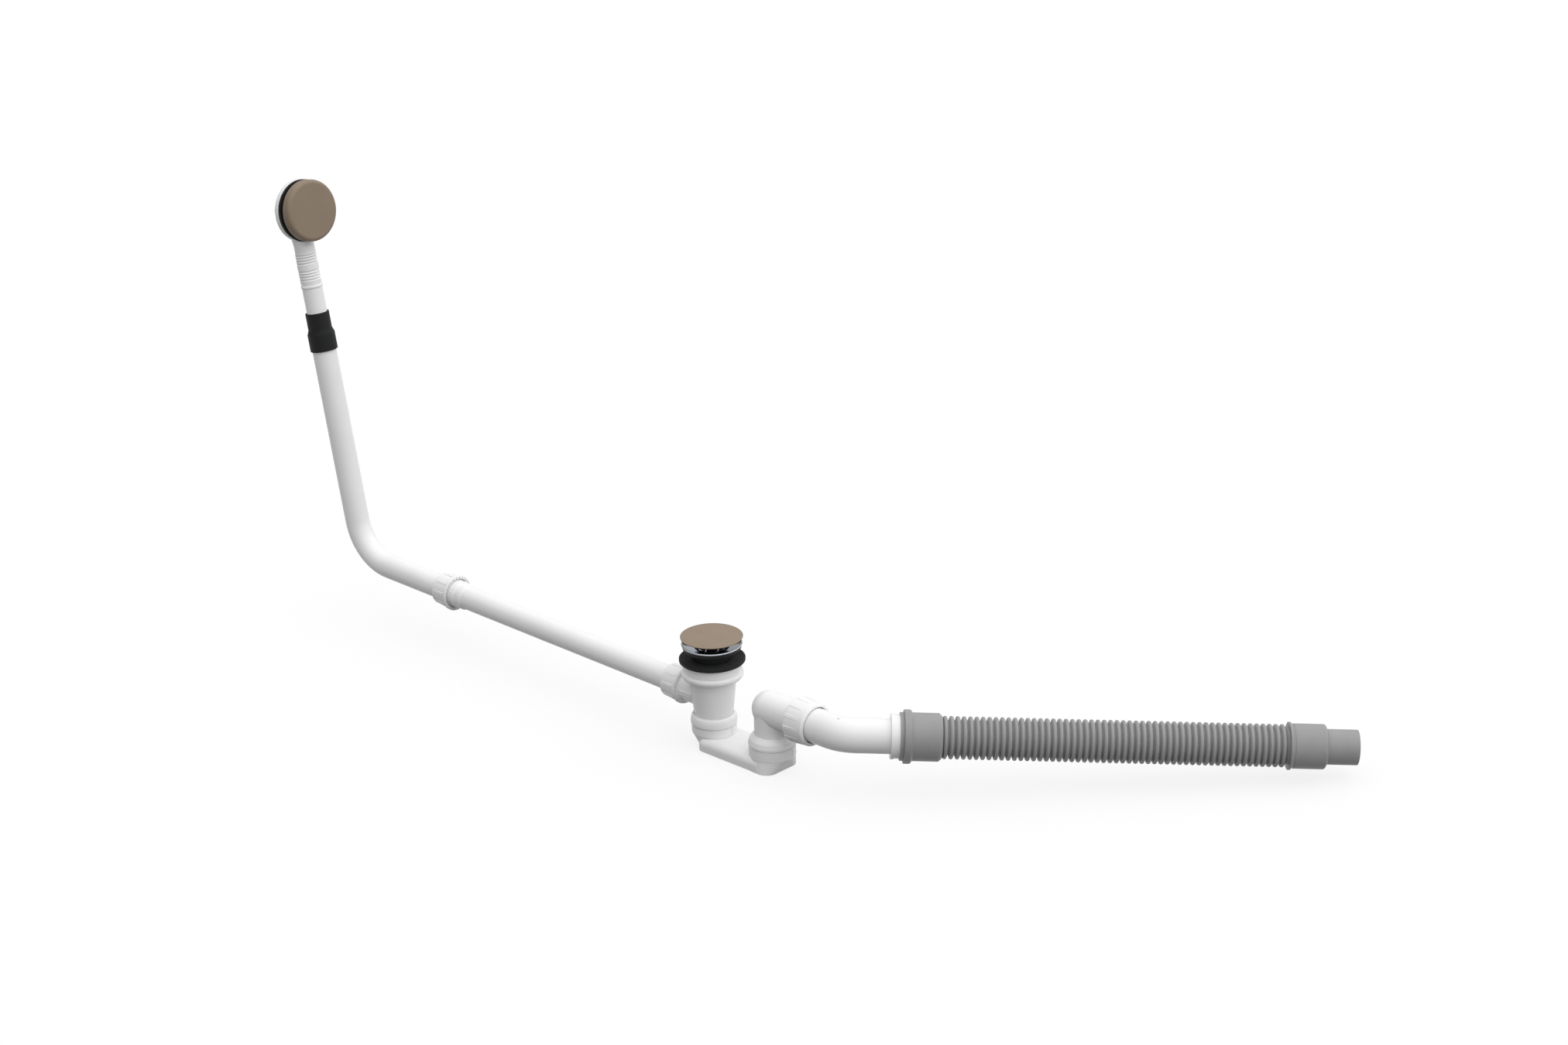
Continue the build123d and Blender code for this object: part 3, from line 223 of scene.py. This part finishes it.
# White polypropylene, injection moulded: bright and neutral, with a soft highlight and a faint orange peel
WHITE_PLASTIC = Finish(
    name="moulded white polypropylene",
    colour="#f5f5f5",
    shade="#eeefee",
    metallic=0.0,
    roughness=0.30,
    roughness_spread=0.04,
    ior=1.49,
    grain_mm=1.6,
    relief_mm=0.02,
    cloud_mm=30.0,
    surface=Surface.MOULDED,
)
# Grey polypropylene, moulded: mid grey with a satin skin and slight cloudiness
GREY_PLASTIC = Finish(
    name="moulded grey polypropylene",
    colour="#9a9a9a",
    shade="#919191",
    metallic=0.0,
    roughness=0.42,
    roughness_spread=0.05,
    ior=1.49,
    grain_mm=1.8,
    relief_mm=0.03,
    cloud_mm=18.0,
    surface=Surface.MOULDED,
)
# EPDM rubber, compression moulded: near black and matt
BLACK_RUBBER = Finish(
    name="moulded EPDM rubber",
    colour="#171818",
    shade="#1d1e1e",
    metallic=0.0,
    roughness=0.60,
    roughness_spread=0.08,
    ior=1.52,
    grain_mm=0.9,
    relief_mm=0.03,
    cloud_mm=9.0,
    surface=Surface.MOULDED,
    specular=0.2,
)
# Black polyamide, injection moulded
BLACK_PLASTIC = Finish(
    name="moulded black polyamide",
    colour="#161717",
    shade="#1c1c1c",
    metallic=0.0,
    roughness=0.45,
    roughness_spread=0.06,
    ior=1.53,
    grain_mm=1.0,
    relief_mm=0.02,
    cloud_mm=9.0,
    surface=Surface.MOULDED,
    specular=0.3,
)
# Steel with a taupe stoved coating: matt colour with hardly any texture
TAUPE_COATING = Finish(
    name="stoved taupe coating",
    colour="#918170",
    shade="#8b7b6a",
    metallic=0.0,
    roughness=0.5,
    roughness_spread=0.04,
    ior=1.5,
    grain_mm=1.2,
    relief_mm=0.012,
    cloud_mm=22.0,
    surface=Surface.SPRAYED,
    specular=0.22,
)
# Brass with a chrome plate: a clear mirror, slightly blue, darkened to come nearer to the photograph; the
# darkening is painted shade, standing in for the darker surroundings that the chrome mirrors
CHROME = Finish(
    name="plated chrome",
    colour="#b3b6bc",
    shade="#a9acb3",
    metallic=1.0,
    roughness=0.09,
    roughness_spread=0.03,
    ior=None,
    grain_mm=3.0,
    relief_mm=0.002,
    cloud_mm=25.0,
    surface=Surface.PLATED,
)
# Stainless steel, turned: a fine grain that softens the highlight
STEEL = Finish(
    name="turned stainless steel",
    colour="#b9b9b7",
    shade="#a8a8a6",
    metallic=1.0,
    roughness=0.28,
    roughness_spread=0.06,
    ior=None,
    grain_mm=0.5,
    relief_mm=0.004,
    cloud_mm=12.0,
    surface=Surface.TURNED,
)
# Brass, turned and left bare
BRASS = Finish(
    name="turned brass",
    colour="#c9a45c",
    shade="#b8924c",
    metallic=1.0,
    roughness=0.30,
    roughness_spread=0.06,
    ior=None,
    grain_mm=0.5,
    relief_mm=0.004,
    cloud_mm=10.0,
    surface=Surface.TURNED,
)

SLOT_FINISHES = {
    "white_plastic": WHITE_PLASTIC,
    "grey_plastic": GREY_PLASTIC,
    "black_rubber": BLACK_RUBBER,
    "black_plastic": BLACK_PLASTIC,
    "taupe_metal": TAUPE_COATING,
    "chrome": CHROME,
    "steel": STEEL,
    "brass": BRASS,
}


def turned_mesh(
    name: str, outline: list[tuple[float, float]], start: Vector, axis: Vector, sides: int
) -> bpy.types.Object:
    """Turn an outline round an axis into a smooth object.

    Args:
        name: Name of the object.
        outline: Points as (radius, distance along the axis), in millimetres; the last joins the first.
        start: Point of the axis at distance zero, in metres.
        axis: Direction of the axis.
        sides: Steps round the axis.

    Returns:
        The new object, in the row frame.
    """
    rod = axis.normalized()
    across = rod.orthogonal().normalized()
    upright = rod.cross(across)
    shape = bmesh.new()
    rings = []
    for step in range(sides):
        turn = 2 * math.pi * step / sides
        outward = across * math.cos(turn) + upright * math.sin(turn)
        places = [start + (rod * along + outward * radius) * MM for radius, along in outline]
        rings.append([shape.verts.new(place) for place in places])
    for step in range(sides):
        here, there = rings[step], rings[(step + 1) % sides]
        for index in range(len(outline)):
            after = (index + 1) % len(outline)
            shape.faces.new((here[index], here[after], there[after], there[index]))
    bmesh.ops.recalc_face_normals(shape, faces=shape.faces)
    mesh = bpy.data.meshes.new(name)
    shape.to_mesh(mesh)
    shape.free()
    mesh.shade_smooth()
    piece = bpy.data.objects.new(name, mesh)
    bpy.context.collection.objects.link(piece)
    return piece


def drain_line() -> tuple[Vector, Vector]:
    """Find the axis of the drain from the mount of its spigot.

    Returns:
        The corner of the outlet bend, in metres, and the direction of the drain.
    """
    mount = next(m for m in frame["record"]["mounts"] if m["name"] == "drain_spigot")
    axis = Vector(mount["axis"]).normalized()
    return Vector(mount["pos_m"]) - axis * SPIGOT_DISTANCE * MM, axis


def hose_ends(start: Vector, axis: Vector) -> tuple[float, float]:
    """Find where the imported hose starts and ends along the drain, in millimetres.

    Args:
        start: Corner of the outlet bend, in metres.
        axis: Direction of the drain.

    Returns:
        Distance of both ends from the corner.
    """
    mesh = frame["nodes"]["corrugated_hose"]
    along = [(mesh.matrix_world @ v.co - start).dot(axis) / MM for v in mesh.data.vertices]
    return min(along), max(along)


@dataclass
class CorrugatedHose:
    """The grey drain hose, with the rounded ridges and narrow valleys of a blow moulding.

    Attributes:
        body: CAD body that carries the hose.
        node: CAD node that the hose stands for.
        bore: Radius of the smooth bore.
        tail_radius: Outer radius of the plain tails in the socket and the sleeve.
        valley_radius: Radius at the bottom of a valley.
        crest_radius: Radius at the top of a ridge.
        crest_round: Radius of the rounded crest.
        crest_sweep: Half of the angle of the rounded crest, in degrees.
        crest_steps: Steps on each side of the rounded crest.
        flat_share: Share of the pitch that is flat valley.
        hollow_rise: How far the valley has risen where its hollow ends.
        hollow_reach: Where the hollow ends, as a multiple of half the flat valley.
        first_ridge: First ridge, from the corner of the outlet bend.
        last_ridge: Last ridge, from the same corner.
        ridges: How many ridges there are.
        sides: Steps round the hose.
    """

    body: str = "outlet"
    node: str = "corrugated_hose"
    bore: float = 18.6
    tail_radius: float = 21.0
    valley_radius: float = 19.6
    crest_radius: float = 24.3
    crest_round: float = 2.3
    crest_sweep: float = 70.0
    crest_steps: int = 3
    flat_share: float = 0.08
    hollow_rise: float = 0.15
    hollow_reach: float = 1.6
    first_ridge: float = 115.5
    last_ridge: float = 493.8
    ridges: int = 54
    sides: int = 96

    def ridge(self, middle: float, pitch: float) -> list[tuple[float, float]]:
        """Outline of one ridge with the half valleys at its sides.

        Args:
            middle: Distance of the ridge along the hose.
            pitch: Distance between two ridges.

        Returns:
            Points from the valley before the ridge to the valley after it.
        """
        flat = pitch * self.flat_share / 2
        rise = [
            (self.valley_radius, -pitch / 2 + flat),
            (self.valley_radius + self.hollow_rise, -pitch / 2 + self.hollow_reach * flat),
        ]
        crown = []
        for step in range(-self.crest_steps, self.crest_steps + 1):
            turn = math.radians(self.crest_sweep * step / self.crest_steps)
            drop = self.crest_round * (1 - math.cos(turn))
            crown.append((self.crest_radius - drop, self.crest_round * math.sin(turn)))
        fall = [(radius, -along) for radius, along in reversed(rise)]
        return [(radius, middle + along) for radius, along in rise + crown + fall]

    def build(self) -> bpy.types.Object:
        """Turn the hose round the axis of the drain.

        Returns:
            The hose, riding the body of its node.
        """
        start, axis = drain_line()
        low, high = hose_ends(start, axis)
        pitch = (self.last_ridge - self.first_ridge) / (self.ridges - 1)
        first, last = self.first_ridge - pitch / 2, self.last_ridge + pitch / 2
        outline = [(self.bore, low), (self.tail_radius, low), (self.tail_radius, first)]
        for index in range(self.ridges):
            outline += self.ridge(self.first_ridge + pitch * index, pitch)
        outline += [(self.tail_radius, last), (self.tail_radius, high), (self.bore, high)]
        hose = turned_mesh("ridged_hose", outline, start, axis, self.sides)
        hose.data.materials.append(GREY_PLASTIC.material())
        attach(hose, self.body)
        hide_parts(self.node)
        return hose


@dataclass
class SnapCollar:
    """The snap collar of the trap inlet, with the full round shoulder of a moulded collar.

    Attributes:
        body: CAD body that carries the collar.
        node: CAD node that the collar stands for.
        bore: Radius of the bore, which clears the tail of the waste.
        lip: Radius of the flat lip at the mouth.
        bead: Radius of the bead.
        shoulder_drop: Height from the mouth to the fullest part of the bead.
        under: How far the underside of the bead draws in.
        under_start: Share of that which the upper half of the underside takes.
        steps: Steps of the round shoulder.
        sides: Steps round the collar.
    """

    body: str = "trap"
    node: str = "trap_inlet_collar"
    bore: float = 22.9
    lip: float = 23.6
    bead: float = 26.95
    shoulder_drop: float = 8.6
    under: float = 0.7
    under_start: float = 0.25
    steps: int = 12
    sides: int = 128

    def build(self) -> bpy.types.Object:
        """Turn the collar round the axis of the waste.

        Returns:
            The collar, riding the body of its node.
        """
        low, high = (corner[2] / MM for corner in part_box(self.node))
        outline = [(self.bore, high)]
        for step in range(self.steps + 1):
            turn = math.pi / 2 * step / self.steps
            radius = self.lip + (self.bead - self.lip) * math.sin(turn)
            outline.append((radius, high - self.shoulder_drop * (1 - math.cos(turn))))
        outline += [
            (self.bead, low + 2 * self.under),
            (self.bead - self.under_start * self.under, low + self.under),
            (self.bead - self.under, low),
            (self.bore, low),
        ]
        collar = turned_mesh("round_collar", outline, Vector((0, 0, 0)), Vector((0, 0, 1)), self.sides)
        collar.data.materials.append(WHITE_PLASTIC.material())
        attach(collar, self.body)
        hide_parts(self.node)
        return collar


@dataclass
class FramePieces:
    """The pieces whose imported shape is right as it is, and which only need their finish."""

    slots: dict[str, str] = field(
        default_factory=lambda: {part["node"]: part["material_slot"] for part in frame["record"]["subparts"]}
    )

    def dress(self) -> int:
        """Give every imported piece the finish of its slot.

        Returns:
            How many pieces were dressed.
        """
        for node, piece in frame["nodes"].items():
            finish = SLOT_FINISHES[self.slots[node]].material()
            piece.data.materials.clear()
            piece.data.materials.append(finish)
        return len(frame["nodes"])


@dataclass
class Studio:
    """Pale floor, soft light from above and the camera of the photograph.

    Attributes:
        floor_drop: Height of the floor below the lowest point of the part, in metres.
        floor_size: Width of the floor, in metres.
        floor_colour: Colour of the floor that the camera sees in the shadow.
        bounce_colour: Colour of the floor for the light that it throws back on the part.
        shadow_share: How much of the floor's real shading the camera sees.
        tent_level: Brightness of the light tent at its middle height.
        tent_slope: How the tent brightens along X, Y and Z.
        tent_least: Brightness of the darkest part of the tent.
        focal_mm: Focal length of the lens.
        sensor_mm: Width of the sensor.
        far_clip: How far the camera sees, in metres.
        turn_deg: Camera's turn about the upright axis, from looking along +Y.
        pitch_deg: How far the camera looks down.
        roll_deg: Camera's roll about its view.
        origin_in_camera_mm: Top of the waste body as the camera sees it: right, up and distance.
        gasket_mm: Height of the bath seat over the top of the waste body.
    """

    floor_drop: float = 0.0006
    floor_size: float = 14.0
    floor_colour: str = "#f4f4f4"
    bounce_colour: str = "#3c3c3c"
    shadow_share: float = 0.2
    tent_level: float = 0.62
    tent_slope: tuple[float, float, float] = (0.42, 0.25, 0.78)
    tent_least: float = 0.04
    focal_mm: float = 87.78
    sensor_mm: float = 36.0
    far_clip: float = 50.0
    turn_deg: float = 43.72
    pitch_deg: float = 22.19
    roll_deg: float = -1.36
    origin_in_camera_mm: tuple[float, float, float] = (-82.04, -157.0, 4371.83)
    gasket_mm: float = 4.2

    def floor(self) -> None:
        """Lay the floor just under the part."""
        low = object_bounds()[0][2] - self.floor_drop
        mesh = bpy.data.meshes.new("floor")
        half = self.floor_size / 2
        corners = [(-half, -half, low), (half, -half, low), (half, half, low), (-half, half, low)]
        mesh.from_pydata(corners, [], [(0, 1, 2, 3)])
        floor = bpy.data.objects.new("floor", mesh)
        bpy.context.collection.objects.link(floor)
        paint = bpy.data.materials.new("pale floor paint")
        paint.use_nodes = True
        tree = paint.node_tree
        tree.nodes.clear()
        path = add_node(tree, "ShaderNodeLightPath")
        seen = path.outputs["Is Camera Ray"]
        for ray in ("Is Glossy Ray", "Is Transmission Ray"):
            either = {0: seen, 1: path.outputs[ray]}
            seen = add_node(tree, "ShaderNodeMath", {"operation": "MAXIMUM"}, either).outputs[0]
        pale = add_node(tree, "ShaderNodeBsdfDiffuse", {"Color": linear(self.floor_colour)})
        dim = add_node(tree, "ShaderNodeBsdfDiffuse", {"Color": linear(self.bounce_colour)})
        white = add_node(tree, "ShaderNodeEmission", {"Color": linear(WHITE), "Strength": 1.0})
        shown = add_node(
            tree, "ShaderNodeMixShader", {"Fac": self.shadow_share}, {1: white.outputs[0], 2: pale.outputs[0]}
        )
        final = add_node(
            tree, "ShaderNodeMixShader", None, {"Fac": seen, 1: dim.outputs[0], 2: shown.outputs[0]}
        )
        add_node(tree, "ShaderNodeOutputMaterial", None, {"Surface": final.outputs[0]})
        mesh.materials.append(paint)
        floor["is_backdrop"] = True

    def light(self) -> None:
        """Surround the part with a soft tent of light, brightest above and behind on the right."""
        world = bpy.data.worlds.new("light tent")
        world.use_nodes = True
        bpy.context.scene.world = world
        tree = world.node_tree
        tree.nodes.clear()
        direction = add_node(tree, "ShaderNodeTexCoord").outputs["Generated"]
        slope = add_node(
            tree, "ShaderNodeVectorMath", {"operation": "DOT_PRODUCT", 1: self.tent_slope}, {0: direction}
        ).outputs["Value"]
        level = add_node(
            tree, "ShaderNodeMath", {"operation": "ADD", 1: self.tent_level}, {0: slope}
        ).outputs[0]
        dim = add_node(
            tree, "ShaderNodeMath", {"operation": "MAXIMUM", 1: self.tent_least}, {0: level}
        ).outputs[0]
        path = add_node(tree, "ShaderNodeLightPath")
        strength = add_node(
            tree, "ShaderNodeMath", {"operation": "MAXIMUM"}, {0: dim, 1: path.outputs["Is Camera Ray"]}
        ).outputs[0]
        background = add_node(tree, "ShaderNodeBackground", {"Color": linear(WHITE)}, {"Strength": strength})
        add_node(tree, "ShaderNodeOutputWorld", None, {"Surface": background.outputs[0]})

    def camera(self) -> None:
        """Stand the camera where the photograph was taken from."""
        turn, pitch, roll = (math.radians(a) for a in (self.turn_deg, self.pitch_deg, self.roll_deg))
        right = Vector((math.cos(turn), math.sin(turn), 0))
        back = Vector((math.sin(turn) * math.cos(pitch), -math.cos(turn) * math.cos(pitch), math.sin(pitch)))
        up = back.cross(right)
        right, up = (
            right * math.cos(roll) + up * math.sin(roll),
            up * math.cos(roll) - right * math.sin(roll),
        )
        across, rise, distance = self.origin_in_camera_mm
        place = (back * distance - right * across - up * rise) * MM
        place.z -= self.gasket_mm * MM
        lens = bpy.data.cameras.new("camera")
        lens.sensor_width = self.sensor_mm
        lens.lens = self.focal_mm
        lens.clip_end = self.far_clip
        holder = bpy.data.objects.new("camera", lens)
        holder.matrix_world = Matrix.Translation(place) @ Matrix((right, up, back)).transposed().to_4x4()
        bpy.context.collection.objects.link(holder)
        scene = bpy.context.scene
        scene.camera = holder
        scene.view_settings.view_transform = "Standard"


def main() -> None:
    """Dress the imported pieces, build the fine ones and set up the studio, in order."""
    logging.basicConfig(level=logging.INFO, format="%(name)s: %(message)s")
    log.info("packed pieces dressed: %d", FramePieces().dress())
    for fine_piece in (SnapCollar(), CorrugatedHose()):
        made = fine_piece.build()
        log.info("%s: %d faces", made.name, len(made.data.polygons))
    studio = Studio()
    studio.floor()
    studio.light()
    studio.camera()
    log.info("studio ready")


if __name__ == "__main__":
    main()
